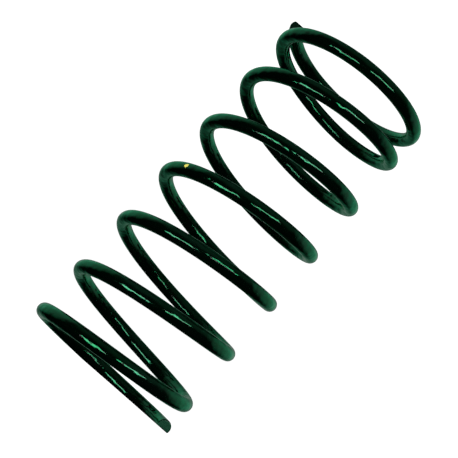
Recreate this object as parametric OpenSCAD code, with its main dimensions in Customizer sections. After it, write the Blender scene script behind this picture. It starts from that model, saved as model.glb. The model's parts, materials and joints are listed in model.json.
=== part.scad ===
// Cylindrical compression spring of round wire, right-hand wound. Both ends are wound closer than
// the open turns and ground flat at the tip. The wire is one piece of steel. It is divided here into
// stretches of a sixth of a turn, so that the open turns can close up when the spring is compressed.
// The origin is on the coil's axis, at the level of the lower seat. +Z runs along the axis.

/* [Wire] */
// Diameter of the coated wire
wire_d = 12; // [9:0.1:12.5]

/* [Coil] */
// Mean diameter of the coil, from wire centre to wire centre
coil_d = 132; // [118:1:150]
// Turns from the lower tip to the upper tip
turns = 7.48; // [7.2:0.02:7.8]
// Rise of one open turn
pitch = 51.8; // [44:0.1:58]

/* [Lower end] */
// Rise of the closed turn, a little more than the wire
low_rise = 16.5; // [14:0.1:18]
// Turns that are wound closed
low_closed = 1.075; // [0.975:0.025:1.15]
// Turns over which the coil opens to its full pitch
low_opening = 0.15; // [0.1:0.05:0.5]
// Depth ground off the wire at the lower tip
low_ground = 2.3; // [1:0.1:6]

/* [Upper end] */
// Rise for each turn in the part that is wound closer
up_rise = 13; // [12:0.1:20]
// Turns that are wound closer
up_closed = 0.34; // [0.3:0.02:0.5]
// Turns over which the full pitch runs out
up_opening = 0.68; // [0.5:0.02:0.9]
// Depth ground off the wire at the upper tip
up_ground = 3.6; // [1:0.1:6]

/* [Paint mark] */
// Where the mark sits, in turns from the lower tip
mark_turn = 3.8875; // [3.5:0.0025:4.2]
// Where it sits around the wire: 0 is outward, 90 is up
mark_round = -5; // [-30:5:90]
// Length of the mark along the wire
mark_l = 4.5; // [3:0.5:12]
// Angle that the mark covers around the wire
mark_span = 40; // [30:1:70]
// Thickness of the paint
mark_t = 0.2; // [0.1:0.05:0.4]

/* [Hidden] */
$fn = 72;
wire_r = wire_d / 2;
coil_r = coil_d / 2;
// The wire's stretches: six at the lower end, six for each of six open turns, three at the top
low_count = 6;
per_turn = 6;
open_turns = 6;
up_count = 3;
count = low_count + per_turn * open_turns + up_count;
step = 360 * turns / count;
// Gap between the upright faces of neighbouring stretches, and the angle of half of it
face_gap = 0.06;
face_angle = face_gap / 2 / coil_r * 180 / PI;
// How far each arc is made too long before its ends are cut upright
spare_angle = 1.5;
// Share of the full pitch at each end
low_share = low_rise / pitch;
up_share = up_rise / pitch;
// Height of the wire's centre at the lower tip, above the flat that the spring stands on
base_z = wire_r - low_ground;
// How far a sector reaches past the wire's centre, up and down
sector_reach = 2 * wire_d;
// Clearance under the paint, so that it lies on the wire and not in it
mark_lift = 0.02;

coating = "#12331f";
paint = "#d9b81e";

// Rise of a slope that starts at x = a and has reached 1 at x = a + w
function ramp(x, a, w) =
    x <= a ? 0 :
    x < a + w ? (x - a) * (x - a) / (2 * w) :
    x - a - w / 2;

// Height of the wire's centre, x turns from the lower tip
function height(x) =
    base_z + pitch * (low_share * x
        + (1 - low_share) * ramp(x, low_closed, low_opening)
        - (1 - up_share) * ramp(x, turns - up_closed - up_opening, up_opening));

// Height of the spring when it is free, from flat to flat
function free_height() = height(turns) + wire_r - up_ground;

// Each stretch is one plane arc between its two end points on the coil. These give its rise,
// the tilt of its plane, half of its angle, its radius and the place of its centre.
function rise(i) = height(i * step / 360) - height((i - 1) * step / 360);
function half_chord() = coil_r * sin(step / 2);
function tilt(i) = atan(rise(i) / (2 * half_chord()));
function half_angle(i) = atan(cos(tilt(i)) * tan(step / 2));
function arc_r(i) = norm([half_chord(), rise(i) / 2]) / sin(half_angle(i));
function centre_x(i) = coil_r * cos(step / 2) - arc_r(i) * cos(half_angle(i));
function centre_z(i) = height((i - 1) * step / 360) + rise(i) / 2;

// Puts its children in the plane of stretch i, with the arc's centre at the origin
module in_plane(i) {
    rotate([0, 0, (i - 0.5) * step])
        translate([centre_x(i), 0, centre_z(i)])
            rotate([tilt(i), 0, 0])
                children();
}

// The sector of the coil that stretch i fills, between two upright planes through the axis. It
// stops at the two seats, so that the ends of the wire come out flat.
module sector(i) {
    a = step / 2 - face_angle;
    reach = 2 * coil_r;
    low = max(0, centre_z(i) - sector_reach);
    high = min(free_height(), centre_z(i) + sector_reach);
    rotate([0, 0, (i - 0.5) * step])
        translate([0, 0, low])
            linear_extrude(height = high - low)
                polygon([
                    [0, 0],
                    [reach * cos(a), -reach * sin(a)],
                    [reach * cos(a), reach * sin(a)]
                ]);
}

// Stretch i of the wire, counted from the lower tip
module stretch(i) {
    a = half_angle(i) + spare_angle;
    color(coating)
        intersection() {
            in_plane(i)
                rotate([0, 0, -a])
                    rotate_extrude(angle = 2 * a)
                        translate([arc_r(i), 0])
                            circle(r = wire_r);
            sector(i);
        }
}

// The closed turn at the lower end, which the spring stands on with its ground flat
module lower_end(part) {
    stretch(part);
}

// One stretch of an open turn, counted upward
module open_turn(turn, part) {
    stretch(low_count + (turn - 1) * per_turn + part);
}

// The half turn at the upper end, which the upper seat bears on at its ground flat
module upper_end(part) {
    stretch(low_count + open_turns * per_turn + part);
}

// A dab of paint on the wire. It marks the load class for sorting and fitting.
module paint_mark() {
    i = ceil(mark_turn * 360 / step);
    along = mark_turn * 360 - (i - 0.5) * step;
    length_angle = mark_l / arc_r(i) * 180 / PI;
    half = mark_span / 2;
    reach = 2 * wire_r;
    color(paint)
        in_plane(i)
            rotate([0, 0, along - length_angle / 2])
                rotate_extrude(angle = length_angle)
                    translate([arc_r(i), 0])
                        intersection() {
                            difference() {
                                circle(r = wire_r + mark_t);
                                circle(r = wire_r + mark_lift);
                            }
                            rotate([0, 0, mark_round])
                                polygon([
                                    [0, 0],
                                    [reach * cos(half), -reach * sin(half)],
                                    [reach * cos(half), reach * sin(half)]
                                ]);
                        }
}

lower_end(1);  // lower_end_1
lower_end(2);  // lower_end_2
lower_end(3);  // lower_end_3
lower_end(4);  // lower_end_4
lower_end(5);  // lower_end_5
lower_end(6);  // lower_end_6
open_turn(1, 1);  // turn_1_part_1
open_turn(1, 2);  // turn_1_part_2
open_turn(1, 3);  // turn_1_part_3
open_turn(1, 4);  // turn_1_part_4
open_turn(1, 5);  // turn_1_part_5
open_turn(1, 6);  // turn_1_part_6
open_turn(2, 1);  // turn_2_part_1
open_turn(2, 2);  // turn_2_part_2
open_turn(2, 3);  // turn_2_part_3
open_turn(2, 4);  // turn_2_part_4
open_turn(2, 5);  // turn_2_part_5
open_turn(2, 6);  // turn_2_part_6
open_turn(3, 1);  // turn_3_part_1
open_turn(3, 2);  // turn_3_part_2
open_turn(3, 3);  // turn_3_part_3
open_turn(3, 4);  // turn_3_part_4
open_turn(3, 5);  // turn_3_part_5
open_turn(3, 6);  // turn_3_part_6
open_turn(4, 1);  // turn_4_part_1
open_turn(4, 2);  // turn_4_part_2
open_turn(4, 3);  // turn_4_part_3
open_turn(4, 4);  // turn_4_part_4
open_turn(4, 5);  // turn_4_part_5
open_turn(4, 6);  // turn_4_part_6
open_turn(5, 1);  // turn_5_part_1
open_turn(5, 2);  // turn_5_part_2
open_turn(5, 3);  // turn_5_part_3
open_turn(5, 4);  // turn_5_part_4
open_turn(5, 5);  // turn_5_part_5
open_turn(5, 6);  // turn_5_part_6
open_turn(6, 1);  // turn_6_part_1
open_turn(6, 2);  // turn_6_part_2
open_turn(6, 3);  // turn_6_part_3
open_turn(6, 4);  // turn_6_part_4
open_turn(6, 5);  // turn_6_part_5
open_turn(6, 6);  // turn_6_part_6
upper_end(1);  // upper_end_1
upper_end(2);  // upper_end_2
upper_end(3);  // upper_end_3
paint_mark();
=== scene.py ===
# %% [markdown]
# # A car's coil spring in gloss green
# The object is a compression spring: one steel wire, wound into a cylinder, coated in dark green and
# marked with a dab of yellow paint. The solid model already gives the wire's exact route, cut into
# short stretches that slide as the spring is squeezed. Here we lay an unbroken wire along that route,
# coat it, paint the mark, and light it as a studio would.

# %% Open the solid model
import json
import math

import bmesh
import bpy
import numpy as np
from mathutils import Matrix, Vector


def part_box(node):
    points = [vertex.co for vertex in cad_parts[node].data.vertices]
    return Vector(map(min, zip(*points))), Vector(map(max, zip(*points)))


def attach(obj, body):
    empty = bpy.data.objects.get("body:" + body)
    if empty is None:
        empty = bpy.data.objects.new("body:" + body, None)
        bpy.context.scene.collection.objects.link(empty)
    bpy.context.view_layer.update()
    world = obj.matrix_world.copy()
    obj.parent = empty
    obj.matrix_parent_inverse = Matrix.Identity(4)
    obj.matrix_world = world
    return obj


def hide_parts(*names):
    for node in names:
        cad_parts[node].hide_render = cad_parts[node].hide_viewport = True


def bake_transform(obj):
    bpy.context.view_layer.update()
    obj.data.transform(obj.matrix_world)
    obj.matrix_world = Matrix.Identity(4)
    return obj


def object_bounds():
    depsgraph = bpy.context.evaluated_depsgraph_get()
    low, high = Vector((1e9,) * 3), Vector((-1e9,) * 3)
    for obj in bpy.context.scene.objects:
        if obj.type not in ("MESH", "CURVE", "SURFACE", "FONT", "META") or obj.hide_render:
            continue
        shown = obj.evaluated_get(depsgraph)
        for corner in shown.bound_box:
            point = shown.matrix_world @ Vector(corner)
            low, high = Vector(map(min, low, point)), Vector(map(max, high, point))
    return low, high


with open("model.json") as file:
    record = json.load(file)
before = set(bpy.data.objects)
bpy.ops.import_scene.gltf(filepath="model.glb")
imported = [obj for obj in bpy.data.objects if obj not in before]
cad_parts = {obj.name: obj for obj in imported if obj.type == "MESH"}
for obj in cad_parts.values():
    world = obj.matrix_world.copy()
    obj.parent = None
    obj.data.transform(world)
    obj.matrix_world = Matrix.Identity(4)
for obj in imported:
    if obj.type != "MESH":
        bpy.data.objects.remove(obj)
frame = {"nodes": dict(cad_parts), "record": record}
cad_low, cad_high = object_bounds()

print("solid model:", [round(v, 4) for v in cad_low], "to", [round(v, 4) for v in cad_high])

# %% [markdown]
# ## The wire's route
# Each stretch of the solid wire ends in two upright faces, which look like slices of a cake seen from
# above. The middle of each face is a point on the wire's centre line. We could write the coil's
# formula again, but reading the faces is safer: the looks then follow the solid model whatever its
# sizes are.

# %% Names of the stretches, from the lower tip to the upper tip
LOWER, UPPER = "lower_end", "upper_end"
TURNS = 6
PARTS = 6
LOWER_PARTS = 6
UPPER_PARTS = 3


def stretch_names():
    lower = [f"lower_end_{k}" for k in range(1, LOWER_PARTS + 1)]
    open_turns = [f"turn_{t}_part_{k}" for t in range(1, TURNS + 1) for k in range(1, PARTS + 1)]
    upper = [f"upper_end_{k}" for k in range(1, UPPER_PARTS + 1)]
    return lower, open_turns, upper


lower_names, open_names, upper_names = stretch_names()
stretches = lower_names + open_names + upper_names
print(len(stretches), "stretches of wire")

# %% Read the two end faces of every stretch
SAME_ANGLE = 1e-4


def end_faces(name):
    """Angle, height and distance from the axis of both end faces, and half the faces' width.

    The two ends of the wire are ground flat on one side, so their height is read from the other."""
    points = np.array([v.co for v in frame["nodes"][name].data.vertices])
    middle = np.arctan2(points[:, 1].mean(), points[:, 0].mean())
    angle = np.arctan2(points[:, 1], points[:, 0]) - middle
    angle = (angle + math.pi) % (2 * math.pi) - math.pi
    out = np.hypot(points[:, 0], points[:, 1])
    faces = []
    for limit in (angle.min(), angle.max()):
        rim = abs(angle - limit) < SAME_ANGLE
        z = points[rim, 2]
        far, near = out[rim].max(), out[rim].min()
        half = (far - near) / 2
        height = (z.min() + z.max()) / 2
        if name in lower_names:
            height = z.max() - half
        if name in upper_names:
            height = z.min() + half
        faces.append((limit + middle, height, (far + near) / 2, half))
    return faces


faces = [end_faces(name) for name in stretches]
widths = [face[3] for pair in faces for face in pair]
WIRE_R = float(np.median(widths))
COIL_R = float(np.median([face[2] for pair in faces for face in pair]))
print("wire radius", round(WIRE_R, 5), "coil radius", round(COIL_R, 5))

# %% Join the faces into cut points: an angle and a height for each cut
cut_angle = [faces[0][0][0]]
cut_height = [faces[0][0][1]]
for start, end in faces:
    width = (end[0] - start[0]) % (2 * math.pi)
    gap = (start[0] - cut_angle[-1] + math.pi) % (2 * math.pi) - math.pi
    cut_height[-1] = (cut_height[-1] + start[1]) / 2
    cut_angle.append(cut_angle[-1] + gap + width)
    cut_height.append(end[1])
cut_angle, cut_height = np.array(cut_angle), np.array(cut_height)
print("turns from tip to tip:", round((cut_angle[-1] - cut_angle[0]) / (2 * math.pi), 3))

# %% [markdown]
# ## A smooth centre line
# Joining the cut points with straight rises would leave a small kink at each cut. A cubic through
# them has no kinks, and the version used here never overshoots where the closed end opens out.


# %% Height of the centre line at any angle
def gentle_slopes(x, y):
    """Slope at each point, so that a cubic through them rises as evenly as the points do."""
    step = np.diff(y) / np.diff(x)
    slopes = np.empty(len(x))
    slopes[0], slopes[-1] = step[0], step[-1]
    slopes[1:-1] = 2 * step[1:] * step[:-1] / (step[1:] + step[:-1])
    return slopes


cut_slope = gentle_slopes(cut_angle, cut_height)


def cubic(angle, values, slopes):
    k = np.clip(np.searchsorted(cut_angle, angle) - 1, 0, len(cut_angle) - 2)
    span = cut_angle[k + 1] - cut_angle[k]
    t = (angle - cut_angle[k]) / span
    return (
        (2 * t**3 - 3 * t**2 + 1) * values[k]
        + (t**3 - 2 * t**2 + t) * span * slopes[k]
        + (3 * t**2 - 2 * t**3) * values[k + 1]
        + (t**3 - t**2) * span * slopes[k + 1]
    )


def height_at(angle):
    return cubic(angle, cut_height, cut_slope)


TINY_TURN = 1e-4


def centre_line(angle):
    """Points on the centre line, with the wire's outward, upward and forward directions there."""
    inside = np.clip(angle, cut_angle[0] + TINY_TURN, cut_angle[-1] - TINY_TURN)
    rise = (height_at(inside + TINY_TURN) - height_at(inside - TINY_TURN)) / (2 * TINY_TURN)
    z = height_at(inside) + rise * (angle - inside)
    c, s, zero = np.cos(angle), np.sin(angle), np.zeros_like(angle)
    point = np.stack([COIL_R * c, COIL_R * s, z], 1)
    forward = np.stack([-COIL_R * s, COIL_R * c, rise], 1)
    forward /= np.linalg.norm(forward, axis=1)[:, None]
    outward = np.stack([c, s, zero], 1)
    upward = np.cross(outward, forward)
    return point, outward, upward, forward


print("steepest rise of a turn:", round(float(cut_slope.max() * 2 * math.pi * 1000), 1), "mm")

# %% [markdown]
# ## Shares of the squeeze
# When the upper seat comes down, a point on the wire moves by a share of that travel: none at the
# closed lower end, all of it at the upper end, and evenly more in between. The solid stretches move
# in steps. A share is worked out for each ring of the wire we lay, but the laid wire is not moved
# by it: the open turns stay where they are laid.

# %% Share of the travel at each cut, from the solid model's couplings
ratio = {c["joint"]: c["ratio"] for c in frame["record"]["behaviour"]["couplings"]}
own_share = [0.0] * len(lower_names)
own_share += [ratio[name + "_travel"] for name in open_names]
own_share += [1.0] * len(upper_names)
first_open, last_open = len(lower_names), len(lower_names) + len(open_names)
cut_share = np.zeros(len(cut_angle))
for k in range(1, len(stretches)):
    cut_share[k] = (own_share[k - 1] + own_share[k]) / 2
cut_share[: first_open + 1] = 0
cut_share[last_open:] = 1
share_slope = np.gradient(cut_share, cut_angle)
share_slope[: first_open + 1] = 0
share_slope[last_open:] = 0


def share_at(angle):
    return np.clip(cubic(angle, cut_share, share_slope), 0, 1)


def squeeze(piece):
    """Fixes the piece's placement into its points; it is not bent by any share."""
    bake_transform(piece)


print("shares:", [round(float(s), 3) for s in cut_share[::6]])

# %% [markdown]
# ## Laying the wire
# The wire is a tube: rings of points around the centre line, joined by faces. A curve with a round
# bevel would draw the same tube, but with rings of our own each point can be given its true surface
# direction. The wire is laid in eight lengths, one for each turn and each end, and the joins
# don't show because both sides of a join have the same directions.

# %% Rings round the centre line
AROUND = 40
RING_STEP = math.radians(3)
TURN = np.arange(AROUND) * 2 * math.pi / AROUND


def ring_points(angle, radius=WIRE_R):
    point, outward, upward, _ = centre_line(np.asarray(angle, float))
    normal = (
        np.cos(TURN)[None, :, None] * outward[:, None, :]
        + np.sin(TURN)[None, :, None] * upward[:, None, :]
    )
    size = np.broadcast_to(np.asarray(radius, float), (len(point),))
    return point[:, None, :] + size[:, None, None] * normal, normal


def tube_faces(rings):
    faces = []
    for i in range(rings - 1):
        for j in range(AROUND):
            k = (j + 1) % AROUND
            faces.append((i * AROUND + j, (i + 1) * AROUND + j, (i + 1) * AROUND + k, i * AROUND + k))
    return faces


def wire_place(angle, around, radius):
    """Place on the wire: how far along it, and where in its round section."""
    along = COIL_R * np.asarray(angle)
    return np.stack([along, radius * np.cos(around), radius * np.sin(around)], -1)


def make_piece(name, points, normals, places, cut, faces, material):
    """A smooth mesh with the given surface directions, places on the wire and cut shares."""
    mesh = bpy.data.meshes.new(name)
    mesh.from_pydata([tuple(p) for p in points], [], faces)
    mesh.validate()
    mesh.polygons.foreach_set("use_smooth", [True] * len(mesh.polygons))
    mesh.materials.append(material)
    place = mesh.attributes.new("wire_place", "FLOAT_VECTOR", "POINT")
    place.data.foreach_set("vector", np.asarray(places, np.float32).ravel())
    mesh.attributes.new("cut", "FLOAT", "POINT").data.foreach_set("value", np.asarray(cut, np.float32))
    mesh.normals_split_custom_set_from_vertices([tuple(n) for n in normals])
    piece = bpy.data.objects.new(name, mesh)
    bpy.context.scene.collection.objects.link(piece)
    return piece


print("a ring has", AROUND, "points, every", round(math.degrees(RING_STEP)), "degrees")

# %% [markdown]
# ## The cut tips
# The wire is sheared to length before it is coated. The coating rounds the edge of the cut, so the
# tip ends in a small curve and then a flat face. A Bevel modifier would do the rounding, but the
# rings make it directly: each one is a little smaller and a little further on.

# %% Rings that close a tip
EDGE_ROUND = 0.0011
EDGE_STEPS = 7
FACE_RINGS = 5
MIDDLE_HOLE = 1e-5


def tip_rings(at, way):
    """Rings from the start of the rounding to the middle of the face. way is -1 or 1."""
    points, normals, places, cut = [], [], [], []
    for k in range(1, EDGE_STEPS + 1):
        bend = math.pi / 2 * k / EDGE_STEPS
        back = EDGE_ROUND * (1 - math.sin(bend))
        here = at - way * back / COIL_R
        _, _, _, forward = centre_line(np.array([here]))
        radius = WIRE_R - EDGE_ROUND * (1 - math.cos(bend))
        ring, side = ring_points([here], radius)
        points.append(ring[0])
        normals.append(side[0] * math.cos(bend) + way * forward * math.sin(bend))
        places.append(wire_place(np.full(AROUND, here), TURN, radius))
        cut.append(np.full(AROUND, math.sin(bend) ** 2))
    flat_r = WIRE_R - EDGE_ROUND
    for k in range(1, FACE_RINGS + 1):
        radius = flat_r * (1 - k / FACE_RINGS) + MIDDLE_HOLE
        ring, _ = ring_points([at], radius)
        points.append(ring[0])
        normals.append(np.repeat(way * forward, AROUND, axis=0))
        places.append(wire_place(np.full(AROUND, at), TURN, radius))
        cut.append(np.ones(AROUND))
    return points, normals, places, cut


print("edge of the cut rounded by", EDGE_ROUND * 1000, "mm")

# %% [markdown]
# ## The ground ends
# After winding, a wheel grinds both ends flat so that the spring stands square on its seats. The wire
# gets thinner towards each tip. A Boolean modifier could take the slice off, but cutting the mesh
# with a plane is cleaner, and the cut is closed with a single flat face. New points along the cut
# need a surface direction and a place on the wire, so both are worked out from the centre line.


# %% Where a point lies on the wire
PAST_THE_END = 0.05
NEVER_ZERO = 1e-9


def on_wire(points, low, high):
    """The wire's angle, its place there and its outward normal for points near its surface."""
    around_axis = np.arctan2(points[:, 1], points[:, 0])
    best = np.full(len(points), np.inf)
    angle = np.zeros(len(points))
    for k in range(int(low // (2 * math.pi)) - 1, int(high // (2 * math.pi)) + 2):
        here = around_axis + 2 * math.pi * k
        middle, _, _, _ = centre_line(here)
        miss = abs(np.linalg.norm(points - middle, axis=1) - WIRE_R)
        miss[(here < low - PAST_THE_END) | (here > high + PAST_THE_END)] = np.inf
        closer = miss < best
        best[closer], angle[closer] = miss[closer], here[closer]
    middle, outward, upward, _ = centre_line(angle)
    offset = points - middle
    across = (offset * outward).sum(1)
    up = (offset * upward).sum(1)
    radius = np.hypot(across, up) + NEVER_ZERO
    normal = (across / radius)[:, None] * outward + (up / radius)[:, None] * upward
    return normal, wire_place(angle, np.arctan2(up, across), radius)


print("a point is looked for up to", PAST_THE_END, "radians past the end of its length")

# %% Grind an end flat
GROUND_SHARE = 0.35
ON_SEAT = 1e-6
UNMOVED = 1e-7


def grind(parts, faces, seat, way, low, high):
    """Cuts the wire at the seat's height. way is -1 for the lower seat and 1 for the upper."""
    points, normals, places, cut = parts
    mesh = bmesh.new()
    marks = mesh.verts.layers.int.new("row")
    for row, point in enumerate(points):
        mesh.verts.new(point)[marks] = row + 1
    mesh.verts.ensure_lookup_table()
    for face in faces:
        mesh.faces.new([mesh.verts[k] for k in face])
    everything = mesh.verts[:] + mesh.edges[:] + mesh.faces[:]
    bmesh.ops.bisect_plane(
        mesh, geom=everything, dist=UNMOVED, plane_co=(0, 0, seat), plane_no=(0, 0, way), clear_outer=True
    )
    rim = [e for e in mesh.edges if e.is_boundary and all(abs(v.co.z - seat) < ON_SEAT for v in e.verts)]
    flat = bmesh.ops.contextual_create(mesh, geom=rim)["faces"]
    bmesh.ops.split_edges(mesh, edges=rim)
    mesh.verts.index_update()
    on_flat = {v.index for f in flat for v in f.verts}
    for f in flat:
        f.normal_update()
        if f.normal.z * way < 0:
            f.normal_flip()
    new_points = np.array([v.co for v in mesh.verts])
    new_normals, new_places = on_wire(new_points, low, high)
    new_cut = np.zeros(len(new_points))
    for v in mesh.verts:
        if v.index in on_flat:
            new_normals[v.index] = (0, 0, way)
            new_cut[v.index] = GROUND_SHARE
        elif v[marks] and np.allclose(points[v[marks] - 1], v.co, atol=UNMOVED):
            row = v[marks] - 1
            new_normals[v.index] = normals[row]
            new_places[v.index] = places[row]
            new_cut[v.index] = cut[row]
    new_faces = [[v.index for v in f.verts] for f in mesh.faces]
    mesh.free()
    return (new_points, new_normals, new_places, new_cut), new_faces


print("seats at", round(cad_low.z, 5), "and", round(cad_high.z, 5))

# %% [markdown]
# ## The coating
# Spring makers coat the wire with powder that is melted on. It flows into a thick gloss skin with a
# slightly wavy surface, called orange peel, which breaks long reflections into short wavering lines.
# A plain gloss shader would look like glass, so two sizes of ripple bend the surface direction: long
# soft waves and fine peel. The paint dab needs the same ripple, so it is made once as a node group.


# %% Node helpers
def colour_socket(sockets, name):
    """A Mix node has a socket of each kind under one name. This finds the colour one."""
    return next(s for s in sockets if s.name == name and s.type == "RGBA")


def add_node(tree, kind, **values):
    node = tree.nodes.new(kind)
    for name, value in values.items():
        setattr(node, name, value)
    return node


def set_inputs(node, **values):
    for name, value in values.items():
        node.inputs[name.replace("_", " ")].default_value = value


# %% The ripple group: height of the coating's surface
def ripple_group():
    group = bpy.data.node_groups.new("coating ripple", "ShaderNodeTree")
    face = group.interface
    face.new_socket("Place", in_out="INPUT", socket_type="NodeSocketVector")
    for name, value in (("Wave Size", 120.0), ("Peel Size", 600.0), ("Peel Share", 0.2)):
        socket = face.new_socket(name, in_out="INPUT", socket_type="NodeSocketFloat")
        socket.default_value = value
    face.new_socket("Height", in_out="OUTPUT", socket_type="NodeSocketFloat")
    inputs = add_node(group, "NodeGroupInput")
    outputs = add_node(group, "NodeGroupOutput")
    wave = add_node(group, "ShaderNodeTexNoise")
    peel = add_node(group, "ShaderNodeTexNoise")
    set_inputs(wave, Detail=1.5, Roughness=0.4)
    set_inputs(peel, Detail=1.0, Roughness=0.5)
    link = group.links.new
    for noise, size in ((wave, "Wave Size"), (peel, "Peel Size")):
        link(inputs.outputs["Place"], noise.inputs["Vector"])
        link(inputs.outputs[size], noise.inputs["Scale"])
    small = add_node(group, "ShaderNodeMath", operation="MULTIPLY")
    both = add_node(group, "ShaderNodeMath", operation="ADD")
    link(peel.outputs["Fac"], small.inputs[0])
    link(inputs.outputs["Peel Share"], small.inputs[1])
    link(wave.outputs["Fac"], both.inputs[0])
    link(small.outputs[0], both.inputs[1])
    link(both.outputs[0], outputs.inputs["Height"])
    return group


RIPPLE = ripple_group()
print("made node group", RIPPLE.name)


# %% Places on the wire for the patterns
def stretched_place(tree, stretch):
    """The place on the wire, with lengths along it shrunk so that patterns come out long."""
    place = add_node(tree, "ShaderNodeAttribute", attribute_name="wire_place")
    shrink = add_node(tree, "ShaderNodeVectorMath", operation="MULTIPLY")
    shrink.inputs[1].default_value = (1 / stretch, 1, 1)
    tree.links.new(place.outputs["Vector"], shrink.inputs[0])
    return shrink.outputs["Vector"]


def two_tones(tree, deep, deep_at, light, light_at):
    """A colour ramp from a deep tone to a light one."""
    ramp = add_node(tree, "ShaderNodeValToRGB")
    for element, tone, at in zip(ramp.color_ramp.elements, (deep, light), (deep_at, light_at)):
        element.position = at
        element.color = tone
    return ramp


print("patterns follow the wire")

# %% [markdown]
# ## The green gloss
# Dark gloss on metal shows hardly any colour of its own: the green is in what it mirrors. So the
# shader is nearly all metal with a very dark green, and a thin clear coat adds the whiter part of the
# shine. Faint clouds in the green and in the roughness keep the long strands from looking even. The
# cut faces at the tips are duller and flatter, and the "cut" value on the mesh says where they are.
# A Bevel node rounds the look of the sharp edge round each ground flat, where a Bevel modifier would
# have to bite into a very thin corner.

# %% Tones of the coating
DEEP_GREEN = (0.002, 0.048, 0.017, 1)
LIGHT_GREEN = (0.01, 0.06, 0.032, 1)
CUT_GREEN = (0.012, 0.062, 0.034, 1)
SHINE_GREEN = (0.42, 1.0, 0.7, 1)
CUT_ROUGHNESS = 0.45
ALONG_STRETCH = 1.8
print("green from", DEEP_GREEN[:3], "to", LIGHT_GREEN[:3])


# %% Colour and roughness, with the cut faces duller
def coating_tone(tree, shader, clouds, cut):
    shade = two_tones(tree, DEEP_GREEN, 0.35, LIGHT_GREEN, 0.7)
    cut_shade = add_node(tree, "ShaderNodeMix", data_type="RGBA")
    colour_socket(cut_shade.inputs, "B").default_value = CUT_GREEN
    gloss = add_node(tree, "ShaderNodeMapRange")
    set_inputs(gloss, From_Min=0.3, From_Max=0.7, To_Min=0.06, To_Max=0.13)
    cut_gloss = add_node(tree, "ShaderNodeMix")
    cut_gloss.inputs["B"].default_value = CUT_ROUGHNESS
    link = tree.links.new
    link(clouds, shade.inputs["Fac"])
    link(clouds, gloss.inputs["Value"])
    link(cut, cut_shade.inputs["Factor"])
    link(cut, cut_gloss.inputs["Factor"])
    link(shade.outputs["Color"], colour_socket(cut_shade.inputs, "A"))
    link(gloss.outputs["Result"], cut_gloss.inputs["A"])
    link(cut_gloss.outputs["Result"], shader.inputs["Roughness"])
    link(colour_socket(cut_shade.outputs, "Result"), shader.inputs["Base Color"])


# %% Ripple in the surface, calmer on the cut faces
def coating_surface(tree, shader, place, cut):
    ripple = add_node(tree, "ShaderNodeGroup", node_tree=RIPPLE)
    set_inputs(ripple, Wave_Size=180.0, Peel_Size=600.0, Peel_Share=0.05)
    bump = add_node(tree, "ShaderNodeBump")
    set_inputs(bump, Distance=0.00095)
    calm = add_node(tree, "ShaderNodeMapRange")
    set_inputs(calm, To_Min=1.0, To_Max=0.05)
    edges = add_node(tree, "ShaderNodeBevel", samples=6)
    set_inputs(edges, Radius=0.0005)
    link = tree.links.new
    link(edges.outputs["Normal"], bump.inputs["Normal"])
    link(place, ripple.inputs["Place"])
    link(ripple.outputs["Height"], bump.inputs["Height"])
    link(cut, calm.inputs["Value"])
    link(calm.outputs["Result"], bump.inputs["Strength"])
    link(bump.outputs["Normal"], shader.inputs["Normal"])


# %% The green coating
def coating_material():
    material = bpy.data.materials.new("green_coating")
    material.use_nodes = True
    tree = material.node_tree
    shader = tree.nodes["Principled BSDF"]
    set_inputs(shader, Metallic=0.97, Roughness=0.1, IOR=1.5, Coat_Weight=0.14, Coat_Roughness=0.04)
    shader.inputs["Specular Tint"].default_value = SHINE_GREEN
    place = stretched_place(tree, ALONG_STRETCH)
    clouds = add_node(tree, "ShaderNodeTexNoise")
    set_inputs(clouds, Scale=60.0, Detail=3.0, Roughness=0.55)
    tree.links.new(place, clouds.inputs["Vector"])
    cut = add_node(tree, "ShaderNodeAttribute", attribute_name="cut")
    coating_tone(tree, shader, clouds.outputs["Fac"], cut.outputs["Fac"])
    coating_surface(tree, shader, place, cut.outputs["Fac"])
    return material


COATING = coating_material()
print("made material", COATING.name)

# %% [markdown]
# ## The eight lengths of wire
# Each length stands for the solid stretches it covers. The ends ride on the two end bodies, and the
# open turns stay fixed where they are laid between them.


# %% Lay one length
def lay_wire(name, first, last, tip=0):
    """Lays the wire from cut first to cut last. tip is -1 or 1 if it ends in the lower or upper tip."""
    low, high = cut_angle[first], cut_angle[last]
    steps = max(2, round((high - low) / RING_STEP))
    angles = np.linspace(low, high, steps + 1)
    if tip < 0:
        angles[0] = low + EDGE_ROUND / COIL_R
    if tip > 0:
        angles[-1] = high - EDGE_ROUND / COIL_R
    ring, side = ring_points(angles)
    rings = [list(ring), list(side), [wire_place(np.full(AROUND, a), TURN, WIRE_R) for a in angles]]
    rings.append([np.zeros(AROUND)] * len(angles))
    if tip:
        ends = tip_rings(low if tip < 0 else high, tip)
        rings = [end[::-1] + ring if tip < 0 else ring + end for ring, end in zip(rings, ends)]
    parts, faces = [np.concatenate(part) for part in rings], tube_faces(len(rings[0]))
    if tip:
        seat = cad_low.z if tip < 0 else cad_high.z
        parts, faces = grind(parts, faces, seat, tip, low, high)
    piece = make_piece(name, *parts, faces, COATING)
    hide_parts(*stretches[first:last])
    return piece, np.repeat(share_at(angles), AROUND)


lower_wire, _ = lay_wire("wire_lower_end", 0, first_open, tip=-1)
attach(lower_wire, LOWER)
for turn in range(TURNS):
    start = first_open + turn * PARTS
    length, shares = lay_wire(f"wire_turn_{turn + 1}", start, start + PARTS)
    squeeze(length)
upper_wire, _ = lay_wire("wire_upper_end", last_open, len(stretches), tip=1)
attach(upper_wire, UPPER)
print("laid", TURNS + 2, "lengths of wire")

# %% [markdown]
# ## The paint mark
# A worker dabs each spring with paint to show its load class. The dab is a small uneven blot that
# hugs the wire, thick in the middle and thin at its edge. It could be a coloured patch in the
# coating's material, but a real dab stands up a little and catches the light, so it gets a mesh.

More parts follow.
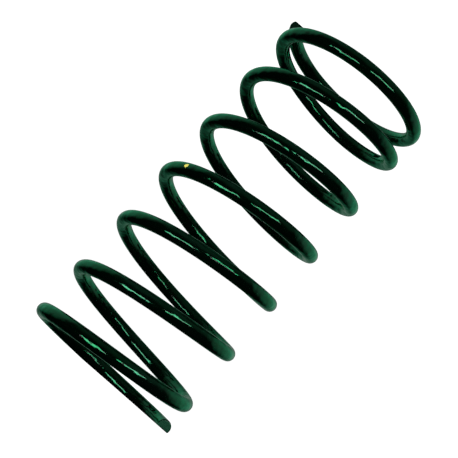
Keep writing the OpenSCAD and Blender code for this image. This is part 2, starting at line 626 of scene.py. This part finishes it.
# %% Where the solid dab sits on the wire
dab_low, dab_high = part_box("paint_mark")
dab = (dab_low + dab_high) / 2
near = math.atan2(dab.y, dab.x)
turns_to_try = near + 2 * math.pi * np.arange(-1, TURNS + 3)
heights = height_at(np.clip(turns_to_try, cut_angle[0], cut_angle[-1]))
dab_angle = float(turns_to_try[np.argmin(abs(heights - dab.z))])
point, outward, upward, _ = (a[0] for a in centre_line(np.array([dab_angle])))
offset = np.array(dab) - point
dab_round = math.atan2(offset @ upward, offset @ outward)
print("dab at", round(math.degrees(dab_angle)), "degrees along the wire")
print("and", round(math.degrees(dab_round)), "degrees round it")

# %% The blot's mesh
DAB_LENGTH = 0.0045
DAB_WIDTH = 0.0042
DAB_THICK = 0.00018
DAB_CLEAR = 0.00001
SPOKES = 48
DAB_RINGS = 9


def blot_edge(turn):
    """How far the edge of the blot is out, as a share of an oval."""
    lobes = 0.07 * math.sin(2 * turn + 0.6) + 0.05 * math.sin(3 * turn + 2.1)
    return 0.88 + lobes + 0.03 * math.sin(7 * turn)


def blot_point(out, turn):
    along = math.cos(turn) * out * blot_edge(turn) * DAB_LENGTH / 2
    across = math.sin(turn) * out * blot_edge(turn) * DAB_WIDTH / 2
    angle = dab_angle + along / (COIL_R + WIRE_R)
    around = dab_round + across / WIRE_R
    p, o, u, _ = (a[0] for a in centre_line(np.array([angle])))
    normal = math.cos(around) * o + math.sin(around) * u
    lift = DAB_THICK * math.sqrt(max(0.0, 1 - out**4)) + DAB_CLEAR
    return p + (WIRE_R + lift) * normal, normal, wire_place(angle, around, WIRE_R)


def blot():
    spots = [blot_point(0, 0)]
    for r in range(1, DAB_RINGS + 1):
        spots += [blot_point(r / DAB_RINGS, 2 * math.pi * s / SPOKES) for s in range(SPOKES)]
    faces = [(0, 1 + s, 1 + (s + 1) % SPOKES) for s in range(SPOKES)]
    for r in range(DAB_RINGS - 1):
        a, b = 1 + r * SPOKES, 1 + (r + 1) * SPOKES
        for s in range(SPOKES):
            t = (s + 1) % SPOKES
            faces.append((a + s, b + s, b + t, a + t))
    points, normals, places = zip(*spots)
    return points, normals, places, np.zeros(len(points)), faces


print("blot is", DAB_LENGTH * 1000, "by", DAB_WIDTH * 1000, "mm")


# %% The yellow paint
DEEP_YELLOW = (0.55, 0.5, 0.06, 1)
LIGHT_YELLOW = (0.85, 0.78, 0.11, 1)


def paint_material():
    material = bpy.data.materials.new("marking_paint")
    material.use_nodes = True
    tree = material.node_tree
    shader = tree.nodes["Principled BSDF"]
    set_inputs(shader, Roughness=0.42)
    place = stretched_place(tree, 1.0)
    streaks = add_node(tree, "ShaderNodeTexNoise")
    set_inputs(streaks, Scale=900.0, Detail=3.0)
    shade = two_tones(tree, DEEP_YELLOW, 0.3, LIGHT_YELLOW, 0.65)
    ripple = add_node(tree, "ShaderNodeGroup", node_tree=RIPPLE)
    set_inputs(ripple, Wave_Size=500.0, Peel_Size=1500.0, Peel_Share=0.4)
    bump = add_node(tree, "ShaderNodeBump")
    set_inputs(bump, Strength=0.6, Distance=0.0003)
    link = tree.links.new
    link(place, streaks.inputs["Vector"])
    link(place, ripple.inputs["Place"])
    link(streaks.outputs["Fac"], shade.inputs["Fac"])
    link(shade.outputs["Color"], shader.inputs["Base Color"])
    link(ripple.outputs["Height"], bump.inputs["Height"])
    link(bump.outputs["Normal"], shader.inputs["Normal"])
    return material


PAINT = paint_material()
mark = make_piece("paint_dab", *blot(), PAINT)
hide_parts("paint_mark")
squeeze(mark)
print("painted the mark")

# %% [markdown]
# ## The studio
# The spring stands on a white floor in a plain white room. Dark gloss is lit by what it mirrors, so
# the gloss gets a room of its own: dark, with a soft glow from both sides that lights the wire where
# it bends away, a weaker one from below that greens the underside, and one straight behind for the
# edges. Two long soft lamps give the pairs of thin bright lines along each strand. An HDRI of a real
# studio would light it too, but a few smooth glows are easier to aim. The floor gives off its own
# white and a wide faint lamp adds a little from above.

# %% The floor
FLOOR_HALF = 30.0
FLOOR_PAINT = (0.85, 0.85, 0.85, 1)

floor_mesh = bpy.data.meshes.new("floor")
corners = [(x * FLOOR_HALF, y * FLOOR_HALF, cad_low.z) for x, y in ((-1, -1), (1, -1), (1, 1), (-1, 1))]
floor_mesh.from_pydata(corners, [], [(0, 1, 2, 3)])
floor = bpy.data.objects.new("floor", floor_mesh)
bpy.context.scene.collection.objects.link(floor)
floor_paint = bpy.data.materials.new("floor_white")
floor_paint.use_nodes = True
floor_shader = floor_paint.node_tree.nodes["Principled BSDF"]
set_inputs(floor_shader, Base_Color=FLOOR_PAINT, Roughness=0.9, Specular_IOR_Level=0.0)
set_inputs(floor_shader, Emission_Color=(1, 1, 1, 1), Emission_Strength=1.0)
floor_mesh.materials.append(floor_paint)
floor.visible_glossy = False
print("floor at", round(cad_low.z, 5))

# %% The glows in the gloss's room
world = bpy.data.worlds.new("room")
bpy.context.scene.world = world
world.use_nodes = True
room = world.node_tree
room.nodes.clear()
look = add_node(room, "ShaderNodeTexCoord")


def glow_towards(way, begins, full, strength):
    """A brightness that grows as a direction turns the given way, from begins to full."""
    dot = add_node(room, "ShaderNodeVectorMath", operation="DOT_PRODUCT")
    dot.inputs[1].default_value = way
    grow = add_node(room, "ShaderNodeMapRange", interpolation_type="SMOOTHSTEP")
    set_inputs(grow, From_Min=begins, From_Max=full, To_Min=0.0, To_Max=strength)
    room.links.new(look.outputs["Generated"], dot.inputs[0])
    room.links.new(dot.outputs["Value"], grow.inputs["Value"])
    return grow.outputs["Result"]


glows = [
    glow_towards((0, 1, 0), begins=0.7, full=1.0, strength=0.22),
    glow_towards((0, 0, -1), begins=0.15, full=0.85, strength=0.14),
    glow_towards((0.8, 0.52, -0.3), begins=0.7, full=1.0, strength=0.62),
    glow_towards((-0.8, 0.52, -0.3), begins=0.7, full=1.0, strength=0.62),
]
total = glows[0]
for glow in glows[1:]:
    added = add_node(room, "ShaderNodeMath")
    room.links.new(total, added.inputs[0])
    room.links.new(glow, added.inputs[1])
    total = added.outputs[0]
print(len(glows), "glows")

# %% The room: white to look at, the glows for everything else
white = add_node(room, "ShaderNodeBackground")
set_inputs(white, Color=(1, 1, 1, 1), Strength=1.15)
dim = add_node(room, "ShaderNodeBackground")
set_inputs(dim, Color=(0.9, 1, 0.95, 1))
mix = add_node(room, "ShaderNodeMixShader")
path = add_node(room, "ShaderNodeLightPath")
output = add_node(room, "ShaderNodeOutputWorld")
room.links.new(total, dim.inputs["Strength"])
room.links.new(path.outputs["Is Camera Ray"], mix.inputs[0])
room.links.new(dim.outputs[0], mix.inputs[1])
room.links.new(white.outputs[0], mix.inputs[2])
room.links.new(mix.outputs[0], output.inputs[0])
print("room is ready")

# %% A long soft lamp between two directions
middle = (cad_low + cad_high) / 2


def direction(azimuth, elevation):
    a, e = math.radians(azimuth), math.radians(elevation)
    return Vector((math.sin(a) * math.cos(e), -math.cos(a) * math.cos(e), math.sin(e)))


def strip_lamp(name, start, end, distance, width, glow):
    """The lamp runs from start to end, each an azimuth and an elevation seen from the middle."""
    a, b = (middle + direction(*way) * distance for way in (start, end))
    along = (b - a).normalized()
    facing = (middle - (a + b) / 2).normalized()
    facing = (facing - along * facing.dot(along)).normalized()
    lamp = bpy.data.lights.new(name, "AREA")
    lamp.shape = "RECTANGLE"
    lamp.size, lamp.size_y = (b - a).length, width
    lamp.energy = glow * math.pi * lamp.size * lamp.size_y
    holder = bpy.data.objects.new(name, lamp)
    bpy.context.scene.collection.objects.link(holder)
    turn = Matrix((along, along.cross(facing), -facing)).transposed().to_4x4()
    holder.matrix_world = Matrix.Translation((a + b) / 2) @ turn
    holder.visible_camera = False


print("the lamps stand round", [round(v, 4) for v in middle])

# %% The lamps
strip_lamp("lamp_right", start=(9, 27), end=(51, 32), distance=1.3, width=0.22, glow=11.0)
strip_lamp("lamp_left", start=(-9, 7), end=(-44, -14), distance=0.7, width=0.09, glow=12.0)
above = bpy.data.lights.new("lamp_above", "SUN")
above.energy = 0.12
above.angle = math.radians(120)
above_holder = bpy.data.objects.new("lamp_above", above)
bpy.context.scene.collection.objects.link(above_holder)
above_holder.visible_glossy = False
print("lamps are ready")

# %% [markdown]
# ## The camera
# A long lens keeps the turns nearly the same size from end to end. The camera looks a little down on
# the standing spring and is rolled, so the spring lies across the frame with its lower end at the top
# right. Turning the spring would do the same, but then it wouldn't stand on its floor.

# %% The camera
CAMERA_FROM_MIDDLE = Vector((-0.00787, -0.85249, 0.15898))
LOOK_AZIMUTH, LOOK_ELEVATION, ROLL = -0.755, 10.119, 138.94
LENS, SENSOR = 83.99, 36
SHIFT_X, SHIFT_Y = 0.0082, -0.0111

camera = bpy.data.cameras.new("camera")
camera.sensor_width = SENSOR
camera.lens = LENS
camera.shift_x, camera.shift_y = SHIFT_X, SHIFT_Y
stand = bpy.data.objects.new("camera", camera)
bpy.context.scene.collection.objects.link(stand)
back = direction(LOOK_AZIMUTH, LOOK_ELEVATION)
level = (-back).to_track_quat("-Z", "Y").to_matrix().to_4x4()
roll = Matrix.Rotation(-math.radians(ROLL), 4, "Z")
stand.matrix_world = Matrix.Translation(middle + CAMERA_FROM_MIDDLE) @ level @ roll
bpy.context.scene.camera = stand
bpy.context.scene.view_settings.view_transform = "Standard"
print("camera", round(CAMERA_FROM_MIDDLE.length, 3), "m from the middle")
